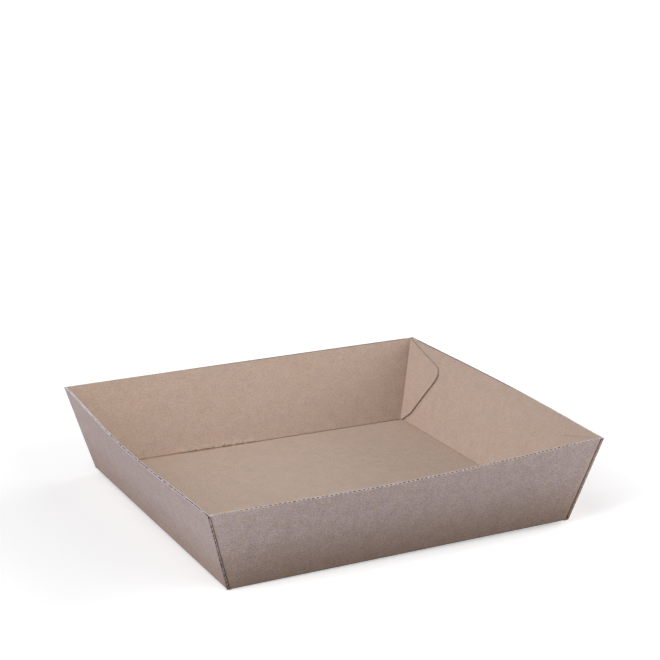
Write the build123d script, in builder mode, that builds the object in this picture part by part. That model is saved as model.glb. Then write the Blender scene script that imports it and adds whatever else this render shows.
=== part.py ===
from build123d import *
import os
from math import atan2, cos, degrees, pi, radians, sin, tan

# Shallow open tray folded from one die-cut sheet of fine-flute corrugated kraft board.
# X runs along the long walls, Y along the side walls, Z is up. The origin is the middle of
# the underside, where the tray rests. Sizes are millimetres.

# overall sizes, measured over the outer faces
rim_length = 290.0
rim_depth = 275.0
base_length = 255.0
base_depth = 243.0
height = 60.5

# board, the paper on each of its faces, and its folds
board = 1.6
liner = 0.32
corner_fold_radius = 1.5
base_fold_radius = 1.2
end_setback = 0.25

# how much further the middle of a wall leans out than its ends, degrees
long_wall_bow = 4.5
side_wall_bow = 5.5
wall_stations = 5

# glued corner tab, seen from the side: reach from the base corner and heights above the table
tab_reach = 38.5
tab_top_drop = 13.0
tab_tip_radius = 6.5
tab_heel_reach = 12.7
tab_heel_height = 9.7

# crease pressed into the inner face along each base fold
crease_radius = 0.45
crease_end_gap = 6.0

# flutes left open where the long walls' rims are cut
flute_pitch = 3.2
flute_mouth = 2.0
flute_depth = 3.0
flute_end_gap = 6.0

half_base_x = base_length / 2
half_base_y = base_depth / 2
half_rim_x = rim_length / 2
half_rim_y = rim_depth / 2
side_lean = degrees(atan2(half_rim_x - half_base_x, height))
long_lean = degrees(atan2(half_rim_y - half_base_y, height))
side_slant = height / cos(radians(side_lean))
long_slant = height / cos(radians(long_lean))
clear = 4 * board
inner_foot_x = half_base_x - board / cos(radians(side_lean)) + board * tan(radians(side_lean))
inner_foot_y = half_base_y - board / cos(radians(long_lean)) + board * tan(radians(long_lean))


def leaning_wall(half_base, half_rim, lean, bow, outer, inner, low, high):
    """Wall leaning towards +Y, bowed out in the middle, between two depths and two slant heights."""
    with BuildPart() as wall:
        for station in range(wall_stations):
            share = station / (wall_stations - 1)
            angle = radians(lean + bow * sin(pi * share) ** 1.5)
            across = Vector(-cos(angle), sin(angle))
            up = Vector(sin(angle), cos(angle))
            hinge = Vector(half_base, 0)
            with BuildSketch(Plane.YZ.offset(half_rim * (2 * share - 1))):
                with BuildLine():
                    Polyline(
                        hinge + across * outer + up * low,
                        hinge + across * outer + up * high,
                        hinge + across * inner + up * high,
                        hinge + across * inner + up * low,
                        close=True,
                    )
                make_face()
        loft()
    return wall.part


def base_fold_stock(half_base, half_rim, lean, bow):
    """Stock outside the rounded base fold of a wall that leans towards +Y."""
    with BuildPart() as stock:
        for station in range(wall_stations):
            share = station / (wall_stations - 1)
            angle = radians(lean + bow * sin(pi * share) ** 1.5)
            hinge = Vector(half_base, 0)
            on_floor = hinge - Vector(base_fold_radius, 0)
            on_wall = hinge + Vector(sin(angle), cos(angle)) * base_fold_radius
            away = Vector(board, -board)
            with BuildSketch(Plane.YZ.offset(half_rim * (2 * share - 1))):
                with BuildLine():
                    Polyline(on_wall, on_wall + away, on_floor + away, on_floor)
                    TangentArc(on_floor, on_wall, tangent=Vector(1, 0))
                make_face()
        loft()
    return stock.part


def flared_prism(plane, half_base, lean, depth):
    """Prism through the tray whose two sides follow a pair of walls at a depth in their board."""
    foot = half_base - depth / cos(radians(lean))
    spread = height * tan(radians(lean))
    with BuildPart() as prism:
        with BuildSketch(plane):
            with BuildLine():
                Polyline(
                    (foot - spread, -height),
                    (foot + 2 * spread, 2 * height),
                    (-foot - 2 * spread, 2 * height),
                    (spread - foot, -height),
                    close=True,
                )
            make_face()
        extrude(amount=rim_length, both=True)
    return prism.part


# back wall, trimmed where it turns into the tabs inside the side walls
with BuildPart() as back_wall:
    add(leaning_wall(half_base_y, half_rim_x, long_lean, long_wall_bow, 0, board, 0, long_slant))
    add(flared_prism(Plane.XZ, half_base_x, side_lean, board), mode=Mode.INTERSECT)

# part of the side wall's inner layer that carries no tab
with BuildPart() as bare_layer:
    with BuildSketch(Plane.YZ):
        Rectangle(4 * half_rim_y, 4 * height)
        with BuildSketch(mode=Mode.SUBTRACT) as tab_outline:
            with BuildLine():
                top_slope = tab_top_drop / (half_rim_y - half_base_y + tab_reach)
                Polyline(
                    (half_base_y + clear, 0),
                    (half_rim_y + clear, height + clear * top_slope),
                    (half_base_y - tab_reach, height - tab_top_drop),
                    (half_base_y - tab_heel_reach, tab_heel_height),
                    (half_base_y, 0),
                    close=True,
                )
            make_face()
            fillet(tab_outline.vertices().sort_by(Axis.X)[0], tab_tip_radius)
            mirror(about=Plane.YZ)
    extrude(amount=rim_length, both=True)
    add(
        Rotation(0, 0, -90)
        * leaning_wall(
            half_base_x, half_rim_y, side_lean, side_wall_bow,
            board, 2 * board + clear, -clear, side_slant + clear,
        ),
        mode=Mode.INTERSECT,
    )

# right side wall with its two glued tabs: two boards thick, cut back to one between the tabs
with BuildPart() as right_wall:
    add(
        Rotation(0, 0, -90)
        * leaning_wall(
            half_base_x, half_rim_y, side_lean, side_wall_bow, 0, 2 * board, 0, side_slant
        )
    )
    add(flared_prism(Plane.YZ, half_base_y, long_lean, end_setback), mode=Mode.INTERSECT)
    add(bare_layer.part, mode=Mode.SUBTRACT)

# rounded fold where a long wall turns into a tab: the corner stock left outside its arc
corner_rise = Vector(tan(radians(side_lean)), tan(radians(long_lean)), 1).normalized()
long_outward = Vector(0, cos(radians(long_lean)), -sin(radians(long_lean)))
side_outward = Vector(cos(radians(side_lean)), 0, -sin(radians(side_lean)))
fold_plane = Plane(
    origin=(half_base_x - board / cos(radians(side_lean)), half_base_y, 0),
    x_dir=corner_rise.cross(long_outward),
    z_dir=corner_rise,
)
down_side = side_outward.cross(corner_rise).normalized()
down_side = Vector(down_side.dot(fold_plane.x_dir), down_side.dot(fold_plane.y_dir))
with BuildPart() as fold_stock:
    with BuildSketch(fold_plane):
        with BuildLine():
            start = Vector(corner_fold_radius, 0)
            Polyline(down_side * corner_fold_radius, (0, 0), -down_side, start - down_side, start)
            TangentArc(start, down_side * corner_fold_radius, tangent=-start)
        make_face()
    extrude(amount=2 * height, both=True)
    mirror(about=Plane.XZ)
    mirror(about=Plane.YZ)

# rounded base folds and the creases pressed along their inner side
with BuildPart() as base_stock:
    add(base_fold_stock(half_base_y, half_rim_x, long_lean, long_wall_bow))
    add(Rotation(0, 0, -90) * base_fold_stock(half_base_x, half_rim_y, side_lean, side_wall_bow))
    mirror(about=Plane.XZ)
    mirror(about=Plane.YZ)

with BuildPart() as creases:
    with Locations((0, inner_foot_y, board)):
        Cylinder(crease_radius, base_length - 2 * crease_end_gap, rotation=(0, 90, 0))
    with Locations((inner_foot_x, 0, board)):
        Cylinder(crease_radius, base_depth - 2 * tab_heel_reach - 2 * crease_end_gap, rotation=(90, 0, 0))
    mirror(about=Plane.XZ)
    mirror(about=Plane.YZ)

# mouths of the flutes along the cut rim of a long wall, one every pitch
flute_count = 2 * int((half_rim_x - flute_end_gap) / flute_pitch) + 1
mouths = []
for index in range(flute_count):
    along = (index - (flute_count - 1) / 2) * flute_pitch
    angle = radians(long_lean + long_wall_bow * sin(pi * (along / rim_length + 0.5)) ** 1.5)
    up = Vector(0, sin(angle), cos(angle))
    across = Vector(0, -cos(angle), sin(angle))
    rim = Vector(along, half_base_y, 0) + up * long_slant + across * (board / 2)
    mouths.append(Plane(origin=rim, x_dir=(1, 0, 0), z_dir=up))
with BuildPart() as flutes:
    with Locations(*mouths):
        Box(flute_mouth, board - 2 * liner, 2 * flute_depth)
    mirror(about=Plane.XZ)

with BuildPart() as tray:
    Box(base_length, base_depth, board, align=(Align.CENTER, Align.CENTER, Align.MIN))
    add(back_wall.part)
    add(mirror(back_wall.part, about=Plane.XZ))
    add(right_wall.part)
    add(mirror(right_wall.part, about=Plane.YZ))
    add(fold_stock.part, mode=Mode.SUBTRACT)
    add(base_stock.part, mode=Mode.SUBTRACT)
    add(creases.part, mode=Mode.SUBTRACT)
    add(flutes.part, mode=Mode.SUBTRACT)

tray.part.label = "tray"
os.makedirs("parts", exist_ok=True)
export_step(tray.part, "parts/tray.step")
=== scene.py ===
import bpy
import math
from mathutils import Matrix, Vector, noise


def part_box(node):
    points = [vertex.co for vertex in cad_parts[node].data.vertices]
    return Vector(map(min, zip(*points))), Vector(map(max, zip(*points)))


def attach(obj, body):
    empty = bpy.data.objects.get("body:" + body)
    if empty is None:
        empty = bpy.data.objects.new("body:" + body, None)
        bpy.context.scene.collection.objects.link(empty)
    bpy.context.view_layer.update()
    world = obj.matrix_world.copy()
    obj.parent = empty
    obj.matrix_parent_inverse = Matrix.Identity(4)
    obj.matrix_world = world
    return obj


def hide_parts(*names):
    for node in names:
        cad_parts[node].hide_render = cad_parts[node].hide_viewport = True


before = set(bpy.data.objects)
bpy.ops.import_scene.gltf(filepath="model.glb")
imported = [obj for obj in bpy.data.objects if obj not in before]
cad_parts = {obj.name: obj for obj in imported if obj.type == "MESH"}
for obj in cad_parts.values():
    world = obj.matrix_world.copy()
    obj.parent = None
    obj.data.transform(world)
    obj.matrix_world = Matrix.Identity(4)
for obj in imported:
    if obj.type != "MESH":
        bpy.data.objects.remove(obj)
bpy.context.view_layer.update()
trayLow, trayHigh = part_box("tray")
print("frame loaded, tray box", [round(v, 4) for v in trayHigh - trayLow])

# The tray is one folded sheet of fine-flute kraft board. Lengths are in millimetres until
# settle() puts a point on the frame's table, and x runs along the long walls.
tray = {
    "rimLength": 290.0, "rimDepth": 275.0,
    "baseLength": 255.0, "baseDepth": 243.0,
    "height": 60.5,
    "board": 1.6,
    "linerShare": 0.17,        # share of the board that one flat paper takes
    "glue": 0.04,              # film between a tab and its side wall
    "cornerFold": {"left": 1.5, "right": 2.3},    # outer radius of the folds at each end
    "baseFoldRadius": 1.2,
    "endSetback": 0.25,        # how far a side wall's ends stay behind the long walls' outer faces
    # degrees that a wall's middle leans out past its ends, and how gently that starts
    "bow": {"front": 4.5, "right": 6.5, "left": 4.0, "back": 5.4},
    "bowEase": 1.5,
    # the sheet is a little twisted: how far each corner of the base and the rim is off true
    "baseLift": {"frontLeft": 0.2, "frontRight": 2.5, "backLeft": 2.7, "backRight": 0.0},
    "rimShift": {
        "frontLeft": (-1.4, 0.2, -1.4), "frontRight": (-0.4, 0.9, 3.4),
        "backLeft": (0.8, -0.7, 2.9), "backRight": (0.1, 0.0, 1.2),
    },
}
mm = 0.001
board = tray["board"]
halfBase = {"x": tray["baseLength"] / 2, "y": tray["baseDepth"] / 2}
halfRim = {"x": tray["rimLength"] / 2, "y": tray["rimDepth"] / 2}
lean = {axis: math.atan2(halfRim[axis] - halfBase[axis], tray["height"]) for axis in "xy"}
slant = {axis: tray["height"] / math.cos(lean[axis]) for axis in "xy"}

# a wall: the axis it faces along, and which way
walls = {"front": ("y", -1), "back": ("y", 1), "left": ("x", -1), "right": ("x", 1)}
otherAxis = {"x": "y", "y": "x"}


def wallAngle(wall, along):
    axis = walls[wall][0]
    share = min(max(along / (2 * halfRim[otherAxis[axis]]) + 0.5, 0), 1)
    return lean[axis] + math.radians(tray["bow"][wall]) * math.sin(math.pi * share) ** tray["bowEase"]


def facingPoint(axis, out, along, rise):
    return Vector((out, along, rise)) if axis == "x" else Vector((along, out, rise))


def wallPoint(wall, along, climb, depth):
    # along the wall, up its slope from the fold, and in from its outer face
    axis, way = walls[wall]
    angle = wallAngle(wall, along)
    out = way * (halfBase[axis] + math.sin(angle) * climb - math.cos(angle) * depth)
    rise = math.cos(angle) * climb + math.sin(angle) * depth
    return facingPoint(axis, out, along, rise)


def wallPointAt(wall, along, rise, depth):
    angle = wallAngle(wall, along)
    return wallPoint(wall, along, (rise - math.sin(angle) * depth) / math.cos(angle), depth)


def cornerAt(axis, rise, depth):
    # where a wall's face stands at the tray's corner, at a height and a depth in its board
    return halfBase[axis] + math.tan(lean[axis]) * rise - depth / math.cos(lean[axis])


def blendCorners(values, shareX, shareY):
    frontSide = values["frontLeft"] * (1 - shareX) + values["frontRight"] * shareX
    backSide = values["backLeft"] * (1 - shareX) + values["backRight"] * shareX
    return frontSide * (1 - shareY) + backSide * shareY


rimShift = {corner: Vector(shift) for corner, shift in tray["rimShift"].items()}


def settle(point):
    # twists the true shape a little and puts it on the frame's table
    rise = point.z / tray["height"]
    shareX = 0.5 + point.x / (2 * (halfBase["x"] + (halfRim["x"] - halfBase["x"]) * rise))
    shareY = 0.5 + point.y / (2 * (halfBase["y"] + (halfRim["y"] - halfBase["y"]) * rise))
    moved = point + blendCorners(rimShift, shareX, shareY) * rise
    moved.z += blendCorners(tray["baseLift"], shareX, shareY) * (1 - rise)
    middle = (trayLow + trayHigh) / 2
    return Vector((middle.x + moved.x * mm, middle.y + moved.y * mm, trayLow.z + moved.z * mm))


meshPoints = []
meshAcross = []    # where each point lies across the flutes, for the faint ribs in the paper
meshFaces = []
meshSlots = []
meshSmooth = []
finishes = ("kraftInside", "kraftOutside", "cutPaper", "paintedFluteShade", "kraftFoldShade", "kraftRimLine")
inside, outside, cutPaper, fluteShade, foldShade, rimLineSlot = range(len(finishes))


def addStrips(rows, slots, facing, smooth=False, across=None):
    # rows of points joined by faces; slots is one finish, or one for each step within a row
    start = len(meshPoints)
    width = len(rows[0])
    settled = [[settle(point) for point in row] for row in rows]
    turn = Vector((0, 0, 0))
    for a, b in zip(settled, settled[1:]):
        for i in range(width - 1):
            turn += (b[i] - a[i]).cross(a[i + 1] - a[i])
    flip = turn.dot(facing) < 0
    for rowIndex, row in enumerate(settled):
        meshPoints.extend(row)
        for i in range(width):
            meshAcross.append(across(rowIndex, i) if across else rows[rowIndex][i].x)
    for r in range(len(rows) - 1):
        for i in range(width - 1):
            a = start + r * width + i
            corners = [a, a + 1, a + 1 + width, a + width]
            meshFaces.append(corners if flip else corners[::-1])
            meshSlots.append(slots[i] if isinstance(slots, list) else slots)
            meshSmooth.append(smooth)


def steps(start, end, count):
    return [start + (end - start) * i / count for i in range(count + 1)]


def smoothStep(value, start, end):
    share = min(max((value - start) / (end - start), 0), 1)
    return share * share * (3 - 2 * share)


def outward(wall, way=1):
    axis, side = walls[wall]
    return facingPoint(axis, side * way, 0, 0)


upward = Vector((0, 0, 1))

# every kind of unevenness: how often it changes per mm, and which layer of noise it comes from
unevenness = {
    "fluteStray": (0.35, 3.1), "fluteSize": (1 / 4, 6), "fluteRagged": (1.7, 0), "fluteLip": (1.3, 9),
    "slitDashes": (1 / 1.15, 0), "slitRuns": (1 / 6, 4), "slitCentre": (1 / 5, 7),
    "slitRagged": (0.9, 2), "slitLip": (0.8, 5),
    "creaseTear": (1 / 3.4, 0), "creaseFray": (1 / 1.2, 3), "creaseCalm": (1 / 13, 8),
    "creaseWander": (1 / 9, 6), "rimLineWidth": (1 / 3, 1),
}
# where each kind of edge starts in the noise, so that no two edges are alike
edgeSeeds = {"longRim": 11.0, "tabLower": 31.0, "tabUpper": 41.0, "sideEnd": 51.0, "sideRim": 71.0}


def uneven(kind, along, seed):
    perMm, layer = unevenness[kind]
    return noise.noise(Vector((along * perMm, seed, layer)))


# the long walls' rims are cut across the flutes, which stand open between the two papers
openFlutes = {
    "pitch": 3.2, "samples": 10,              # mm from flute to flute, and steps drawn in each
    "pocket": 3.2,                            # mm that a flute can be seen into
    "mouthTop": 0.80, "leastMouth": 0.01,     # how far across the board a mouth opens, as shares
    "archMiddle": 0.62, "archSwing": 0.95,    # how much of a pitch is open, and how steep its sides
    "stray": 0.9,                             # how far a flute strays from its place, radians
    "size": 0.85, "sizeSpread": 0.3,
    "squeezedMouth": 0.38,                    # what stays open where the edge is crushed
    "endFade": (0.2, 1.6),                    # mm from each end over which the mouths close
    "flutePaper": 0.16, "innerPaper": 0.87,   # the fluted paper, and where the inner paper starts
    "dent": 0.3, "dentRoom": (0.1, 0.4),      # mm of hollow beside a closed-up flute
    "ragged": 0.10,                           # mm of unevenness that the knife left
    # mm from the left corner, and from the right one, between which the crushing fades
    "crushedLeft": (12, 24), "crushedRight": (26, 10), "crushedShare": 0.55,
}


def flutedEdge(place, length, facing, seed, crushed):
    # place(l, a, b): l along the edge, a across the board from outer to inner, b into the board
    look = openFlutes
    liner = tray["linerShare"]
    inner = look["innerPaper"]
    rows = []
    for l in steps(0, length, round(length / look["pitch"] * look["samples"])):
        stray = look["stray"] * uneven("fluteStray", l, seed)
        wave = math.sin(2 * math.pi * (l / look["pitch"]) + stray)
        arch = min(max(look["archMiddle"] + look["archSwing"] * wave, 0), 1)
        squeeze = crushed(l)
        awayFromEnds = smoothStep(min(l, length - l), *look["endFade"])
        size = look["size"] + look["sizeSpread"] * uneven("fluteSize", l, seed)
        opening = (arch * size * (1 - squeeze) + look["squeezedMouth"] * squeeze) * awayFromEnds
        mouth = liner + (look["mouthTop"] - liner) * min(opening, 1)
        dentFrom = min(mouth + look["flutePaper"], inner)
        dent = look["dent"] * (1 - squeeze) * smoothStep(inner - dentFrom, *look["dentRoom"])
        ragged = look["ragged"] * uneven("fluteRagged", l, seed)
        lip = look["ragged"] * uneven("fluteLip", l, seed)
        deep = look["pocket"] if mouth - liner > look["leastMouth"] else lip
        rows.append([
            place(l, 0, lip), place(l, liner, lip),
            place(l, liner, deep), place(l, mouth, deep),
            place(l, mouth, ragged), place(l, dentFrom, ragged),
            place(l, dentFrom, ragged + dent), place(l, inner, ragged + dent),
            place(l, inner, ragged), place(l, 1, ragged),
        ])
    # the pockets of the open flutes take the painted flute shade
    slots = [cutPaper, fluteShade, fluteShade, fluteShade, cutPaper, inside, inside, inside, cutPaper]
    addStrips(rows, slots, facing)


# other edges are cut along a flute: the papers nearly meet and leave a broken slit
brokenSlit = {
    "samples": 3.0,                                # steps for each mm of edge
    "depth": 1.0, "closedDepth": 0.06,             # mm into the board, open and closed
    "share": 0.27, "leastShare": 0.01,             # half the slit's width, as shares of the board
    "runs": 0.35, "contrast": 2.2,                 # how the dashes gather, and how sharply they end
    "centre": 0.5, "centreStray": 0.08,
    "shoulder": 0.02,                              # share of the board over which the slit's wall falls
    "ragged": 0.12,
}


def crushedEdge(place, length, facing, seed, openness, paper=cutPaper):
    # openness(l) runs from below 0, where dashes are rare, to 1 and over, where the slit stays open
    look = brokenSlit
    rows = []
    for l in steps(0, length, round(length * look["samples"])):
        dashes = uneven("slitDashes", l, seed) + look["runs"] * uneven("slitRuns", l, seed)
        wide = look["share"] * min(max(dashes * look["contrast"] + openness(l), 0), 1)
        centre = look["centre"] + look["centreStray"] * uneven("slitCentre", l, seed)
        ragged = look["ragged"] * uneven("slitRagged", l, seed)
        lip = look["ragged"] * uneven("slitLip", l, seed)
        deep = look["depth"] if wide > look["leastShare"] else look["closedDepth"]
        rows.append([
            place(l, 0, lip), place(l, centre - wide - look["shoulder"], lip / 2),
            place(l, centre - wide, deep), place(l, centre + wide, deep),
            place(l, centre + wide + look["shoulder"], ragged / 2), place(l, 1, ragged),
        ])
    # the slit's walls take the painted flute shade
    addStrips(rows, [paper, fluteShade, fluteShade, fluteShade, paper], facing)


# the fold pressed along the foot of each wall leaves a gap under the wall's paper
creases = {
    # height of the gap, how far the paper over it stands out, how far more it does where it
    # is torn, and from where to where along the wall that is
    "back": {"gap": 0.50, "lip": 0.10, "tear": 1.5, "tearFrom": -66, "tearTo": 8},
    "front": {"gap": 0.45, "lip": 0.10, "tear": 0.4, "tearFrom": -30, "tearTo": 50},
    "left": {"gap": 0.30, "lip": 0.06, "tear": 0.0, "tearFrom": 0, "tearTo": 1},
    "right": {"gap": 0.12, "lip": 0.04, "tear": 0.0, "tearFrom": 0, "tearTo": 1},
}
creaseReach = 5.0    # how far a crease strip runs over the floor and up the wall
creaseForm = {
    "columns": 520,
    "undercut": 0.7,                            # how far the gap goes back under the paper
    "fallFrom": 1.2, "fallTo": 0.2,             # where the floor's paper starts to fall, and stops
    "fall": 0.05, "gapFall": 0.1,               # how far down it is there, and within the gap
    "tearStart": 8, "tearEnd": 10,              # mm over which a tear begins and ends
    "fray": 0.6, "tornBias": 0.35,              # finer roughness in a tear, and how full it is
    "wander": 0.18, "tornWander": 0.7,          # how far the gap's front edge strays
    "calmLip": 0.8, "calmGap": 0.5,             # slow changes in the lip and the gap
    # the gap is even and wide at the left, and closes up towards the right
    "gapLeft": 1.35, "gapLoss": 0.85, "lossFrom": 0.15, "lossTo": 0.65,
    "tornGap": 1.3, "leastGap": 0.08,
    # heights over the gap up to which the lip is full, has waned and is nearly flat, with the
    # shares of its reach that are left there
    "fullLip": 0.35, "wanedLip": 1.1, "flatLip": 2.6, "wanedShare": 0.55, "flatShare": 0.1,
    "topLap": 0.4, "topSeat": 0.04,             # how far it runs on behind the wall's inner face
    # at the corners the side walls' strips pass just under those of the long walls
    "cornerSink": 0.08, "cornerFade": 0.6,
}


def addCrease(wall):
    look = creases[wall]
    form = creaseForm
    axis = walls[wall][0]
    seed = list(walls).index(wall) + 1.0
    reach = cornerAt(otherAxis[axis], board, board)
    inward = -outward(wall)
    rows = []
    for along in steps(-reach, reach, form["columns"]):
        foot = wallPointAt(wall, along, board, board)
        up = (wallPointAt(wall, along, board + creaseReach, board) - foot).normalized()
        away = (inward * up.z - upward * up.dot(inward)).normalized()
        tear = smoothStep(along, look["tearFrom"], look["tearFrom"] + form["tearStart"])
        tear *= 1 - smoothStep(along, look["tearTo"] - form["tearEnd"], look["tearTo"])
        rough = uneven("creaseTear", along, seed) + form["fray"] * uneven("creaseFray", along, seed)
        calm = uneven("creaseCalm", along, seed)
        wander = form["wander"] * uneven("creaseWander", along, seed)
        wander += form["tornWander"] * tear * rough
        torn = look["tear"] * tear * max(form["tornBias"] + rough, 0)
        stand = look["lip"] * (1 + form["calmLip"] * calm) + torn
        loss = form["gapLoss"] * smoothStep(0.5 + along / (2 * reach), form["lossFrom"], form["lossTo"])
        gap = look["gap"] * (form["gapLeft"] - loss + form["calmGap"] * calm)
        gap = max(gap + form["tornGap"] * tear * rough, form["leastGap"])
        back = -away * form["undercut"]
        cornerStart = reach - creaseReach
        corner = smoothStep(abs(along), cornerStart, cornerStart + form["cornerFade"])
        sunk = upward * (form["cornerSink"] * corner if axis == "x" else 0)
        # over the floor, down into the gap, back out under the lip, over it and up the wall
        rows.append([
            foot + inward * creaseReach - sunk,
            foot + inward * (form["fallFrom"] + wander) - sunk,
            foot + inward * (form["fallTo"] + wander) - upward * form["fall"],
            foot + back - upward * form["gapFall"],
            foot + up * gap + back,
            foot + up * gap + away * stand,
            foot + up * (gap + form["fullLip"] + torn / 2) + away * stand,
            foot + up * (gap + form["wanedLip"] + torn) + away * form["wanedShare"] * stand,
            foot + up * (gap + form["flatLip"]) + away * form["flatShare"] * stand,
            foot + up * (creaseReach + form["topLap"]) - away * form["topSeat"],
        ])
    # the faces within the crease gap take the painted warm-brown shade colour
    slots = [inside, inside, foldShade, foldShade, foldShade, inside, inside, inside, inside]
    addStrips(rows, slots, inward + upward, smooth=True)


# a thin dark line painted along the inner face just under the back and right rims
rimLines = {
    "back": {"from": -70, "to": 136, "width": 0.55},
    "right": {"from": -40, "to": 128, "width": 0.6},
}
rimLineForm = {"columns": 160, "fade": 60, "least": 0.02, "spread": 0.4, "proud": 0.03, "seed": 5}


def addRimLine(wall):
    look = rimLines[wall]
    form = rimLineForm
    top = slant[walls[wall][0]]
    rows = []
    for along in steps(look["from"], look["to"], form["columns"]):
        wide = look["width"] * smoothStep(along, look["from"], look["from"] + form["fade"])
        wide *= 1 - form["spread"] / 2 + form["spread"] * uneven("rimLineWidth", along, form["seed"])
        drops = (max(wide, form["least"]), 0)
        rows.append([wallPoint(wall, along, top - drop, board + form["proud"]) for drop in drops])
    addStrips(rows, rimLineSlot, outward(wall, -1))


wallMesh = {"rows": 16, "columns": 72, "foldSteps": 5}
wallColumns = steps(-1, 1, wallMesh["columns"])


def addInnerFace(wall, endDepth, across=None):
    # from the crease strip at its foot up to the rim, and out to a depth in the walls beside it
    axis = walls[wall][0]
    rows = []
    footShadeRise = board + creaseReach * math.cos(lean[axis])
    footClimb = (footShadeRise - math.sin(lean[axis]) * board) / math.cos(lean[axis])
    for climb in steps(footClimb, slant[axis], wallMesh["rows"]):
        rise = math.cos(lean[axis]) * climb + math.sin(lean[axis]) * board
        edge = cornerAt(otherAxis[axis], rise, endDepth)
        rows.append([wallPoint(wall, share * edge, climb, board) for share in wallColumns])
    addStrips(rows, inside, outward(wall, -1), smooth=True, across=across)


def addBaseFold(wall, edge):
    # rounded fold between the wall and the floor, under the tray
    axis, side = walls[wall]
    radius = tray["baseFoldRadius"]
    rows = []
    for share in wallColumns:
        along = share * edge
        arc = []
        for turn in steps(0, math.pi / 2 - wallAngle(wall, along), wallMesh["foldSteps"]):
            out = halfBase[axis] - radius + radius * math.sin(turn)
            arc.append(facingPoint(axis, side * out, along, radius * (1 - math.cos(turn))))
        arc.append(wallPoint(wall, along, radius, 0))
        rows.append(arc)
    addStrips(rows, outside, outward(wall) - upward, smooth=True)


def longReach(rise):
    # how far the flat of a long wall's outer face runs to the left and to the right
    edge = cornerAt("x", rise, board)
    return tray["cornerFold"]["left"] - edge, edge - tray["cornerFold"]["right"]


longFoldGap = 0.2    # how far a long wall's base fold stops short of the corner fold


def addLongWall(wall):
    side = walls[wall][1]
    outerRows = []
    for climb in steps(tray["baseFoldRadius"], slant["y"], wallMesh["rows"]):
        low, high = longReach(math.cos(lean["y"]) * climb)
        columns = steps(low, high, wallMesh["columns"])
        outerRows.append([wallPoint(wall, along, climb, 0) for along in columns])
    addStrips(outerRows, outside, outward(wall), smooth=True)
    addInnerFace(wall, 2 * board)
    addBaseFold(wall, cornerAt("x", 0, board) - longFoldGap)

    # cut rim with open flutes, crushed beside the left corner and half crushed at the right one
    low, high = longReach(tray["height"])
    innerEdge = cornerAt("x", tray["height"] + math.sin(lean["y"]) * board, 2 * board)
    length = high - low

    def rimPlace(l, a, b):
        start = low + (-innerEdge - low) * a
        end = high + (innerEdge - high) * a
        return wallPoint(wall, start + (end - start) * l / length, slant["y"] - b, a * board)

    def crushed(l):
        fromRight, toRight = openFlutes["crushedRight"]
        atLeft = 1 - smoothStep(l, *openFlutes["crushedLeft"])
        atRight = smoothStep(l, length - fromRight, length - toRight)
        return max(atLeft, openFlutes["crushedShare"] * atRight)

    flutedEdge(rimPlace, length, upward, edgeSeeds["longRim"] + side, crushed)


tab = {
    # reach from the base corner, drop below the rim, and the bend in the lower edge
    "reach": 38.5, "topDrop": 13.0, "tipRadius": 6.5, "heelReach": 12.7, "heelHeight": 9.7,
    "tipShare": 0.47,          # share of the edge that lies below the tip
    "slit": -1.2,              # how open the slit in its edge is
    "foldClear": 1.0,          # how far its outer paper stays behind the corner fold
    "samples": 240, "everyRow": 4, "columns": 10, "tipSteps": 12,
    "ribFrom": 127.0, "ribStep": 3.0,     # where its first column lies across the flutes
}


def bearing(flat):
    return math.atan2(flat.y, flat.x)


def tabOutline(samples):
    # free edge of a tab in side view, from the base corner round its tip to the rim corner
    heel = Vector((halfBase["y"] - tab["heelReach"], tab["heelHeight"]))
    tip = Vector((halfBase["y"] - tab["reach"], tray["height"] - tab["topDrop"]))
    start = Vector((halfBase["y"], 0.0))
    end = Vector((halfRim["y"], tray["height"]))
    radius = tab["tipRadius"]
    toHeel = (heel - tip).normalized()
    toRim = (end - tip).normalized()
    half = toHeel.angle(toRim) / 2
    cut = radius / math.tan(half)
    centre = tip + (toHeel + toRim).normalized() * (radius / math.sin(half))
    fromAngle = bearing(tip + toHeel * cut - centre)
    toAngle = bearing(tip + toRim * cut - centre)
    if toAngle > fromAngle:
        toAngle -= 2 * math.pi    # the short way round the tip
    arc = []
    for angle in steps(fromAngle, toAngle, tab["tipSteps"]):
        arc.append(centre + Vector((math.cos(angle), math.sin(angle))) * radius)
    corners = [start, heel] + arc + [end]
    lengths = [(b - a).length for a, b in zip(corners, corners[1:])]
    total = sum(lengths)
    slack = 1e-6    # lets the last sample fall on the last stretch
    found = []
    for l in steps(0, total, samples):
        walked = 0
        for a, b, part in zip(corners, corners[1:], lengths):
            if l <= walked + part + slack:
                direction = (b - a) / part
                found.append((a + direction * (l - walked), direction))
                break
            walked += part
    return found, total


outline, outlineLength = tabOutline(tab["samples"])


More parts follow.
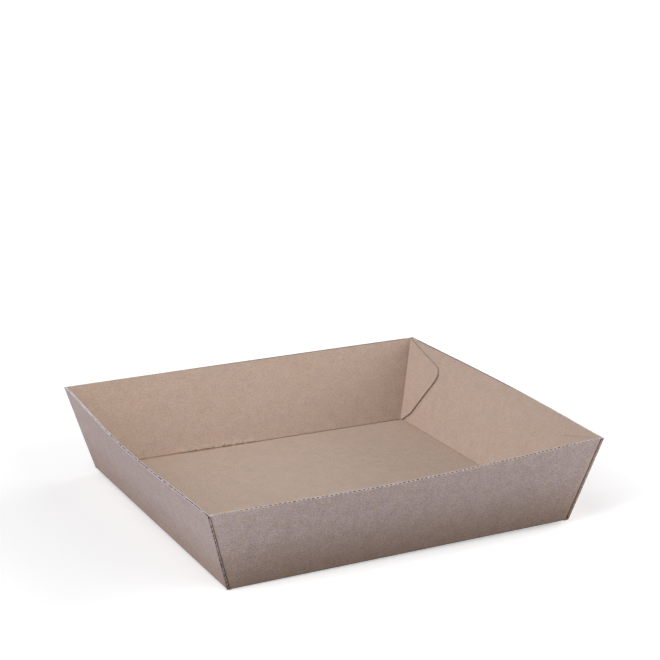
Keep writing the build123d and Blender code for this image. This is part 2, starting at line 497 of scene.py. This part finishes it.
def addTab(longWall, sideWall):
    longSide = walls[longWall][1]
    thick = board - tray["glue"]

    def tabPoint(flat, depth):
        return wallPointAt(sideWall, longSide * flat.x, flat.y, board + tray["glue"] + depth)

    def ribs(row, column):
        return tab["ribFrom"] + tab["ribStep"] * column

    # the paper seen inside the tray, then the one that faces the side wall
    for depth, cornerDepth, slot, way in ((thick, board, inside, -1), (0, tab["foldClear"], outside, 1)):
        rows = []
        for i in range(0, tab["samples"] + 1, tab["everyRow"]):
            free = outline[i][0]
            rise = tray["height"] * i / tab["samples"]
            corner = Vector((cornerAt("y", rise, cornerDepth), rise))
            if way < 0 and corner.x < free.x:
                corner.x = free.x
            rows.append([tabPoint(corner.lerp(free, k), depth) for k in steps(0, 1, tab["columns"])])
        addStrips(rows, slot, outward(sideWall, way), smooth=True, across=ribs)

    def edgePlace(l, a, b):
        place = min(max(l / outlineLength, 0), 1) * tab["samples"]
        index = min(int(place), tab["samples"] - 1)
        flat = outline[index][0].lerp(outline[index + 1][0], place - index)
        direction = outline[index][1]
        inward = Vector((direction.y, -direction.x))
        return tabPoint(flat + inward * b, a * thick)

    def slit(l):
        return tab["slit"]

    # the edge below the tip lies in shade and takes the warmer inside colour, so it renders browner; the one
    # above it catches the light. Which colour each edge takes is painted light and shade
    tipAt = outlineLength * tab["tipShare"]
    lower = -outward(longWall) - upward
    upper = -0.3 * outward(longWall) + upward
    upperPaper = outside if longWall == "back" else inside
    crushedEdge(edgePlace, tipAt, lower, edgeSeeds["tabLower"] + longSide, slit, inside)
    crushedEdge(lambda l, a, b: edgePlace(tipAt + l, a, b), outlineLength - tipAt, upper,
                edgeSeeds["tabUpper"] + longSide, slit, upperPaper)


cornerFold = {
    "rows": 30, "steps": 8,
    "litSteps": 4,                # steps of the fold that face the light and keep the outside colour; the rest turn into the slot and take painted shade
    "overlap": 0.4,               # how far it runs on behind the side wall's end
    # near the table the tab is too narrow to hide the fold, so it ends in the long wall
    "narrowBelow": 3.2, "narrowShare": 0.95,
    # the slot beside the side wall's end: how deep it goes back, and where it starts and stops
    "slotDepth": 2.6, "slotFoot": 3.0, "slotTop": 1.2, "slotRows": 20,
    # how far it starts behind that end, and stands in front of the side wall's inner face
    "slotBack": 0.1, "slotProud": 0.01,
}


def addCornerFold(longWall, sideWall):
    # the rounded outer fold between a long wall and its tab, and the little cap on top
    form = cornerFold
    longSide = walls[longWall][1]
    sideSide = walls[sideWall][1]
    radius = tray["cornerFold"][sideWall]
    rows = []
    for rise in steps(0, tray["height"], form["rows"]):
        outX = cornerAt("x", rise, board + tray["glue"])
        outY = cornerAt("y", rise, 0)
        narrow = rise < form["narrowBelow"]
        deepest = board * form["narrowShare"] if narrow else radius + form["overlap"]
        row = []
        for turn in steps(0, math.pi / 2, form["steps"]):
            back = min(radius - radius * math.cos(turn), deepest)
            across = outX - radius + radius * math.sin(turn)
            row.append(Vector((sideSide * across, longSide * (outY - back), rise)))
        row.append(Vector((sideSide * outX, longSide * (outY - deepest), rise)))
        rows.append(row)
    # the fold turns away into a slot; its inner steps and the slot take painted shade, darker at the left
    shade = fluteShade if sideWall == "left" else foldShade
    shadedSteps = form["steps"] + 1 - form["litSteps"]
    slots = [outside] * form["litSteps"] + [shade] * shadedSteps
    addStrips(rows, slots, outward(longWall) + outward(sideWall), smooth=True)

    # painted shade: a sheet standing in the slot beside the side wall's end
    slotRows = []
    for rise in steps(form["slotFoot"], tray["height"] - form["slotTop"], form["slotRows"]):
        across = sideSide * (cornerAt("x", rise, board) - form["slotProud"])
        end = cornerAt("y", rise, tray["endSetback"] + form["slotBack"])
        slotRows.append([Vector((across, longSide * (end - deep), rise))
                         for deep in steps(0, form["slotDepth"], 2)])
    addStrips(slotRows, shade, -outward(sideWall))

    rim = rows[-1][:-1]
    innerTop = Vector((
        sideSide * cornerAt("x", tray["height"], 2 * board),
        longSide * cornerAt("y", tray["height"], board),
        tray["height"] + math.sin(lean["y"]) * board,
    ))
    addStrips([rim, [innerTop] * len(rim)], cutPaper, upward)


sideWalls = {
    "ribFrom": 127.5, "ribStep": 3.9,     # where its first row lies across the flutes
    # how open the slit is in the slanted ends, and in the rim from its front to its back:
    # at first, how much that changes, and the shares of the rim between which it does
    "endSlit": {"left": 0.4, "right": -0.25},
    "rimSlit": {"left": (0.5, -1.3, 0.5, 0.95), "right": (-0.7, 1.2, 0.4, 0.9)},
}


def addSideWall(wall):
    side = walls[wall][1]

    def ends(rise):
        return cornerAt("y", rise, tray["endSetback"])

    def ribs(row, column):
        return sideWalls["ribFrom"] + row * sideWalls["ribStep"]

    outerRows = []
    for climb in steps(tray["baseFoldRadius"], slant["x"], wallMesh["rows"]):
        edge = ends(math.cos(lean["x"]) * climb)
        outerRows.append([wallPoint(wall, share * edge, climb, 0) for share in wallColumns])
    addStrips(outerRows, outside, outward(wall), smooth=True, across=ribs)
    addInnerFace(wall, tray["endSetback"], ribs)
    addBaseFold(wall, ends(0))

    # slanted ends, cut across the flutes
    for end in (-1, 1):
        def endPlace(l, a, b):
            rise = math.cos(lean["x"]) * l + math.sin(lean["x"]) * a * board
            return wallPoint(wall, end * (ends(rise) - b), l, a * board)

        seed = edgeSeeds["sideEnd"] + 3 * side + end
        facing = Vector((0, end, 0))
        # painted shade: the slanted ends take the darker outside colour in place of the pale cut-paper colour
        # of the rims, as they face down and away from the light
        crushedEdge(endPlace, slant["x"], facing, seed, lambda l: sideWalls["endSlit"][wall], outside)

    # cut rim, along a flute
    outerEdge = ends(tray["height"])
    innerEdge = ends(tray["height"] + math.sin(lean["x"]) * board)
    atFirst, change, changeFrom, changeTo = sideWalls["rimSlit"][wall]

    def rimPlace(l, a, b):
        reach = outerEdge + (innerEdge - outerEdge) * a
        return wallPoint(wall, (l / outerEdge - 1) * reach, slant["x"] - b, a * board)

    def rimSlit(l):
        return atFirst + change * smoothStep(l / (2 * outerEdge), changeFrom, changeTo)

    crushedEdge(rimPlace, 2 * outerEdge, upward, edgeSeeds["sideRim"] + side, rimSlit)


floorMesh = {"underSteps": 24, "rows": 50, "columns": 48, "leastRow": 0.5}


def addFloor():
    # the underside, between the base folds
    spanX = halfBase["x"] - tray["baseFoldRadius"]
    spanY = halfBase["y"] - tray["baseFoldRadius"]
    underX = steps(-spanX, spanX, floorMesh["underSteps"])
    underY = steps(-spanY, spanY, floorMesh["underSteps"])
    addStrips([[Vector((x, y, 0)) for x in underX] for y in underY], outside, -upward, smooth=True)

    # the floor inside the tray, between the crease strips
    reachX = abs(wallPointAt("right", 0, board, board).x)
    reachY = abs(wallPointAt("back", 0, board, board).y)
    spanX, spanY = reachX - creaseReach, reachY - creaseReach
    between = [y for y in steps(-reachY, reachY, floorMesh["rows"]) if abs(y) < spanY - floorMesh["leastRow"]]
    floorX = steps(-spanX, spanX, floorMesh["columns"])
    rows = [[Vector((x, y, board)) for x in floorX] for y in [-spanY] + between + [spanY]]
    addStrips(rows, inside, upward, smooth=True)


for wall in ("front", "back"):
    addLongWall(wall)
for wall in ("left", "right"):
    addSideWall(wall)
for longWall in ("front", "back"):
    for sideWall in ("left", "right"):
        addTab(longWall, sideWall)
        addCornerFold(longWall, sideWall)
for wall in walls:
    addCrease(wall)
for wall in rimLines:
    addRimLine(wall)
addFloor()

trayMesh = bpy.data.meshes.new("trayBoard")
trayMesh.from_pydata([tuple(point) for point in meshPoints], [], meshFaces)
trayMesh.polygons.foreach_set("material_index", meshSlots)
trayMesh.polygons.foreach_set("use_smooth", meshSmooth)
acrossFlutes = trayMesh.attributes.new("acrossFlutes", "FLOAT", "POINT")
acrossFlutes.data.foreach_set("value", meshAcross)
trayMesh.update()
trayBoard = bpy.data.objects.new("trayBoard", trayMesh)
bpy.context.scene.collection.objects.link(trayBoard)
print("tray folded,", len(meshFaces), "faces")


def newMaterial(name):
    material = bpy.data.materials.new(name)
    material.use_nodes = True
    material.node_tree.nodes.clear()
    return material, material.node_tree, material.node_tree.nodes.new("ShaderNodeOutputMaterial")


def fillSocket(tree, socket, value):
    # a plain value goes on the socket, anything else is the socket of another node
    if isinstance(value, (int, float)):
        socket.default_value = value
    elif isinstance(value, tuple):
        socket.default_value = (*value, 1)
    else:
        tree.links.new(value, socket)


def noiseNode(tree, vector, scale, detail, rough):
    node = tree.nodes.new("ShaderNodeTexNoise")
    node.inputs["Scale"].default_value = scale
    node.inputs["Detail"].default_value = detail
    node.inputs["Roughness"].default_value = rough
    tree.links.new(vector, node.inputs["Vector"])
    return node.outputs["Fac"]


def stretched(tree, vector, scale, turn):
    node = tree.nodes.new("ShaderNodeMapping")
    node.inputs["Scale"].default_value = scale
    node.inputs["Rotation"].default_value = turn
    tree.links.new(vector, node.inputs["Vector"])
    return node.outputs["Vector"]


def mathNode(tree, operation, first, second=None):
    node = tree.nodes.new("ShaderNodeMath")
    node.operation = operation
    fillSocket(tree, node.inputs[0], first)
    if second is not None:
        fillSocket(tree, node.inputs[1], second)
    return node.outputs[0]


def multiplied(tree, first, *others):
    for other in others:
        first = mathNode(tree, "MULTIPLY", first, other)
    return first


def rangeNode(tree, value, fromMin, fromMax, toMin, toMax):
    node = tree.nodes.new("ShaderNodeMapRange")
    for index, number in enumerate((fromMin, fromMax, toMin, toMax), start=1):
        node.inputs[index].default_value = number
    tree.links.new(value, node.inputs[0])
    return node.outputs[0]


noiseSpan = (0.3, 0.7)    # nearly all values of a noise lie between these


def aroundOne(tree, value, amount):
    # spreads a noise to both sides of 1
    return rangeNode(tree, value, *noiseSpan, 1 - amount / 2, 1 + amount / 2)


def mixNode(tree, kind, share, first, second):
    node = tree.nodes.new("ShaderNodeMix")
    node.data_type = "RGBA"
    node.blend_type = kind
    # of its many sockets, 6, 7 and output 2 are the ones for colours
    for index, value in ((0, share), (6, first), (7, second)):
        fillSocket(tree, node.inputs[index], value)
    return node.outputs[2]


# colours and unevenness of each finish
kraftLooks = {
    # painted light: kraftInside and kraftOutside are one paper; the outside's cooler mauve and the inside's
    # warmer tan stand in for cool light on the outer faces and warm bounce inside
    "kraftInside": {
        "warm": (0.508, 0.384, 0.295), "cool": (0.486, 0.398, 0.358),
        "speck": (0.16, 0.10, 0.06), "mottle": 0.08, "grain": 0.28, "ribs": 0.04,
    },
    "kraftOutside": {
        "warm": (0.462, 0.357, 0.297), "cool": (0.434, 0.372, 0.388),
        "speck": (0.14, 0.09, 0.06), "mottle": 0.11, "grain": 0.46, "ribs": 0.05,
        "foot": (0.81, 0.73, 0.64),    # painted shade: browner and darker towards the table
    },
    "cutPaper": {
        "warm": (0.58, 0.52, 0.51), "cool": (0.63, 0.61, 0.69),
        "speck": (0.40, 0.32, 0.27), "mottle": 0.20, "grain": 0.35, "ribs": 0.0,
    },
    # painted shade: the open flutes, slits and left-hand slots take a near-black brown, though inside they
    # are the same kraft as the rest
    "paintedFluteShade": {
        "warm": (0.085, 0.055, 0.032), "cool": (0.078, 0.058, 0.046),
        "speck": (0.07, 0.05, 0.04), "mottle": 0.20, "grain": 0.30, "ribs": 0.0,
    },
    # painted shade: a brighter, more orange paper put only in the crease gaps and the right-hand corner
    # slots, so their shade renders warm brown
    "kraftFoldShade": {
        "warm": (0.58, 0.40, 0.23), "cool": (0.54, 0.39, 0.26),
        "speck": (0.16, 0.10, 0.06), "mottle": 0.15, "grain": 0.30, "ribs": 0.0,
    },
    "kraftRimLine": {
        "warm": (0.150, 0.118, 0.108), "cool": (0.150, 0.130, 0.145),
        "speck": (0.12, 0.09, 0.08), "mottle": 0.20, "grain": 0.30, "ribs": 0.0,
    },
}
# what all the finishes share
paperStuff = {
    # noises: repeats per metre, detail and roughness
    "flecks": (760, 2, 0.5), "patches": (150, 2, 0.5), "grain": (1350, 1, 0.5), "fibres": (1, 2, 0.6),
    # two layers of fibres, long one way and fine across it
    "fibresA": {"scale": (500, 3600, 3600), "turn": (0.2, 0.3, 0.5)},
    "fibresB": {"scale": (3600, 520, 3600), "turn": (0.4, -0.3, 0.25)},
    "fleckSpan": (0.36, 0.64), "fibreSpan": (0.7, 1.3), "fibreLight": (0.95, 1.05),
    "specks": 150, "speckSize": (0.04, 0.10), "speckRare": 0.86, "speckStrength": 0.75,
    "footShadeRise": (0.002, 0.036),      # metres above the table between which the painted foot shade fades out
    "specular": 0.22, "sheen": 0.04, "sheenRoughness": 0.6, "roughness": (0.82, 0.96),
    "bumpStrength": 0.35, "bumpHeight": 0.0002, "grainBump": 0.5, "fibreBump": 0.3,
}


def fibreLayer(tree, coords, layer):
    longWays = stretched(tree, coords, layer["scale"], layer["turn"])
    return noiseNode(tree, longWays, *paperStuff["fibres"])


def speckShare(tree, coords):
    # a few dark specks of old print and bark, in the middle of some of the cells
    cells = tree.nodes.new("ShaderNodeTexVoronoi")
    cells.inputs["Scale"].default_value = paperStuff["specks"]
    cells.inputs["Randomness"].default_value = 1
    tree.links.new(coords, cells.inputs["Vector"])
    near = rangeNode(tree, cells.outputs["Distance"], *paperStuff["speckSize"], 1, 0)
    chosen = tree.nodes.new("ShaderNodeSeparateColor")
    tree.links.new(cells.outputs["Color"], chosen.inputs[0])
    rare = mathNode(tree, "GREATER_THAN", chosen.outputs[0], paperStuff["speckRare"])
    return multiplied(tree, near, rare, paperStuff["speckStrength"])


def kraftMaterial(name):
    look = kraftLooks[name]
    stuff = paperStuff
    material, tree, output = newMaterial(name)
    coords = tree.nodes.new("ShaderNodeTexCoord").outputs["Object"]
    flecks = noiseNode(tree, coords, *stuff["flecks"])
    patches = noiseNode(tree, coords, *stuff["patches"])
    grain = noiseNode(tree, coords, *stuff["grain"])
    fibresA = fibreLayer(tree, coords, stuff["fibresA"])
    fibresB = fibreLayer(tree, coords, stuff["fibresB"])
    fibres = mathNode(tree, "ADD", fibresA, fibresB)

    # warm and cool fibres lie side by side in the recycled pulp
    share = rangeNode(tree, flecks, *stuff["fleckSpan"], 0, 1)
    colour = mixNode(tree, "MIX", share, look["warm"], look["cool"])
    light = aroundOne(tree, grain, look["grain"])
    patch = aroundOne(tree, patches, look["mottle"])
    fibre = rangeNode(tree, fibres, *stuff["fibreSpan"], *stuff["fibreLight"])
    colour = mixNode(tree, "MULTIPLY", 1.0, colour, multiplied(tree, light, patch, fibre))

    # painted shade: the outside paper turns browner and darker towards the table, in place of the dimmer
    # light near the walls' feet
    if "foot" in look:
        place = tree.nodes.new("ShaderNodeSeparateXYZ")
        tree.links.new(coords, place.inputs[0])
        footShadeLow, footShadeHigh = stuff["footShadeRise"]
        low = rangeNode(tree, place.outputs[2], trayLow.z + footShadeLow, trayLow.z + footShadeHigh, 1, 0)
        colour = mixNode(tree, "MULTIPLY", low, colour, look["foot"])
    colour = mixNode(tree, "MIX", speckShare(tree, coords), colour, look["speck"])

    shader = tree.nodes.new("ShaderNodeBsdfPrincipled")
    shader.inputs["Specular IOR Level"].default_value = stuff["specular"]
    shader.inputs["Sheen Weight"].default_value = stuff["sheen"]
    shader.inputs["Sheen Roughness"].default_value = stuff["sheenRoughness"]
    tree.links.new(colour, shader.inputs["Base Color"])
    roughness = rangeNode(tree, grain, *noiseSpan, *stuff["roughness"])
    tree.links.new(roughness, shader.inputs["Roughness"])

    grainHeight = multiplied(tree, grain, stuff["grainBump"])
    height = mathNode(tree, "ADD", grainHeight, multiplied(tree, fibres, stuff["fibreBump"]))
    if look["ribs"]:
        across = tree.nodes.new("ShaderNodeAttribute")
        across.attribute_name = "acrossFlutes"
        phase = multiplied(tree, across.outputs["Fac"], 2 * math.pi / openFlutes["pitch"])
        height = mathNode(tree, "ADD", height, multiplied(tree, mathNode(tree, "SINE", phase), look["ribs"]))
    bump = tree.nodes.new("ShaderNodeBump")
    bump.inputs["Strength"].default_value = stuff["bumpStrength"]
    bump.inputs["Distance"].default_value = stuff["bumpHeight"]
    tree.links.new(height, bump.inputs["Height"])
    tree.links.new(bump.outputs["Normal"], shader.inputs["Normal"])
    tree.links.new(shader.outputs[0], output.inputs["Surface"])
    return material


for name in finishes:
    trayMesh.materials.append(kraftMaterial(name))
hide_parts("tray")
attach(trayBoard, "root")
print("kraft finishes made")

# plain pale table, soft lamps and a white backdrop; from here on lengths are in metres
studio = {
    "tableSize": 14.0, "tableGap": 0.0002,       # the table lies just under the tray
    "tableBounce": (0.78, 0.79, 0.85),           # how pale the table is to the tray
    "shadowShare": (0.735, 0.750, 0.775),        # how much of its look is lit, so how deep shadows show
    "tableGlow": 0.38, "frontShadowWash": 0.14,        # painted light: the table glows more before the front wall, which washes out the tray's shadow there
    "glowFrom": 0.022, "glowTo": -0.014,         # where that starts and ends, behind its foot
    # a dark card lies on the table before the front wall, unseen but for the light it takes
    "cardReach": 0.055, "cardFade": 0.03, "cardUnder": 0.002, "cardHalf": 0.12, "cardHalfFade": 0.05,
    "cardColour": (0.06, 0.03, 0.01),
    "skyLight": 0.13, "skyColour": (0.98, 0.99, 1.0),
}
lamps = {
    # power, where it comes from, how wide it looks in degrees, colour
    "leftLow": (1.31, (-1, -0.2, 0.5), 45, (1.0, 0.99, 1.0)),
    "leftHigh": (1.14, (-0.6, -0.1, 1), 45, (1.0, 0.96, 0.92)),
    "frontRight": (1.30, (0.6, -1, 0.5), 45, (1.0, 0.97, 0.93)),
    "rightLow": (0.80, (1, -0.35, 0.2), 45, (1.0, 0.99, 0.98)),
    "rightBack": (1.75, (1, 0.3, 0.3), 45, (1.0, 0.98, 0.96)),
}
# the camera, from the middle of the tray's underside, with its turns in degrees
view = {
    "place": (-0.6102, -1.2651, 0.5409), "turn": (73.451, 0.318, -26.042),
    "lens": 115.1, "sensor": 36, "farthest": 50,
}


def cameraSwitch(tree, forLight, forCamera, output):
    # what the camera sees differs from what lights the tray
    path = tree.nodes.new("ShaderNodeLightPath")
    choose = tree.nodes.new("ShaderNodeMixShader")
    tree.links.new(path.outputs["Is Camera Ray"], choose.inputs[0])
    tree.links.new(forLight.outputs[0], choose.inputs[1])
    tree.links.new(forCamera.outputs[0], choose.inputs[2])
    tree.links.new(choose.outputs[0], output.inputs["Surface"])


def tableLook():
    material, tree, output = newMaterial("paleTable")
    place = tree.nodes.new("ShaderNodeSeparateXYZ")
    tree.links.new(tree.nodes.new("ShaderNodeTexCoord").outputs["Object"], place.inputs[0])
    x, y = place.outputs[0], place.outputs[1]
    frontEdge = -halfBase["y"] * mm
    farEdge = frontEdge - studio["cardReach"]
    cardSide = studio["cardHalf"] + studio["cardHalfFade"]
    before = rangeNode(tree, y, farEdge - studio["cardFade"], farEdge, 0, 1)
    under = rangeNode(tree, y, frontEdge, frontEdge + studio["cardUnder"], 1, 0)
    beside = rangeNode(tree, mathNode(tree, "ABSOLUTE", x), studio["cardHalf"], cardSide, 1, 0)
    card = multiplied(tree, before, under, beside)
    bounce = tree.nodes.new("ShaderNodeBsdfDiffuse")
    cardShade = mixNode(tree, "MIX", card, studio["tableBounce"], studio["cardColour"])
    tree.links.new(cardShade, bounce.inputs["Color"])

    seen = tree.nodes.new("ShaderNodeBsdfDiffuse")
    seen.inputs["Color"].default_value = (*studio["shadowShare"], 1)
    glow = tree.nodes.new("ShaderNodeEmission")
    # painted light: a stronger glow before the front wall hides the tray's shadow there
    glowLevel = rangeNode(tree, y, frontEdge + studio["glowFrom"], frontEdge + studio["glowTo"],
                          studio["tableGlow"], studio["tableGlow"] + studio["frontShadowWash"])
    tree.links.new(glowLevel, glow.inputs["Strength"])
    shown = tree.nodes.new("ShaderNodeAddShader")
    tree.links.new(seen.outputs[0], shown.inputs[0])
    tree.links.new(glow.outputs[0], shown.inputs[1])
    cameraSwitch(tree, bounce, shown, output)
    return material


def addTable():
    half = studio["tableSize"] / 2
    level = trayLow.z - studio["tableGap"]
    corners = [(-half, -half, level), (half, -half, level), (half, half, level), (-half, half, level)]
    tableMesh = bpy.data.meshes.new("table")
    tableMesh.from_pydata(corners, [], [(0, 1, 2, 3)])
    tableMesh.materials.append(tableLook())
    table = bpy.data.objects.new("table", tableMesh)
    bpy.context.scene.collection.objects.link(table)


def addBackdrop():
    world = bpy.data.worlds.new("studio")
    bpy.context.scene.world = world
    world.use_nodes = True
    tree = world.node_tree
    tree.nodes.clear()
    sky = tree.nodes.new("ShaderNodeBackground")
    sky.inputs["Color"].default_value = (*studio["skyColour"], 1)
    sky.inputs["Strength"].default_value = studio["skyLight"]
    white = tree.nodes.new("ShaderNodeBackground")
    white.inputs["Color"].default_value = (1, 1, 1, 1)
    white.inputs["Strength"].default_value = 1.0
    cameraSwitch(tree, sky, white, tree.nodes.new("ShaderNodeOutputWorld"))


def addLamp(name, power, comesFrom, width, colour):
    lamp = bpy.data.lights.new(name, "SUN")
    lamp.energy = power
    lamp.angle = math.radians(width)
    lamp.color = colour
    lampObject = bpy.data.objects.new(name, lamp)
    lampObject.rotation_euler = Vector(comesFrom).to_track_quat("Z", "Y").to_euler()
    bpy.context.scene.collection.objects.link(lampObject)


def addCamera():
    cameraData = bpy.data.cameras.new("camera")
    cameraData.sensor_width = view["sensor"]
    cameraData.lens = view["lens"]
    cameraData.clip_end = view["farthest"]
    camera = bpy.data.objects.new("camera", cameraData)
    middle = (trayLow + trayHigh) / 2
    camera.location = Vector((middle.x, middle.y, trayLow.z)) + Vector(view["place"])
    camera.rotation_euler = [math.radians(angle) for angle in view["turn"]]
    bpy.context.scene.collection.objects.link(camera)
    bpy.context.scene.camera = camera


addTable()
addBackdrop()
for name, lampValues in lamps.items():
    addLamp(name, *lampValues)
addCamera()
bpy.context.scene.view_settings.view_transform = "Standard"
print("table, light and camera placed")
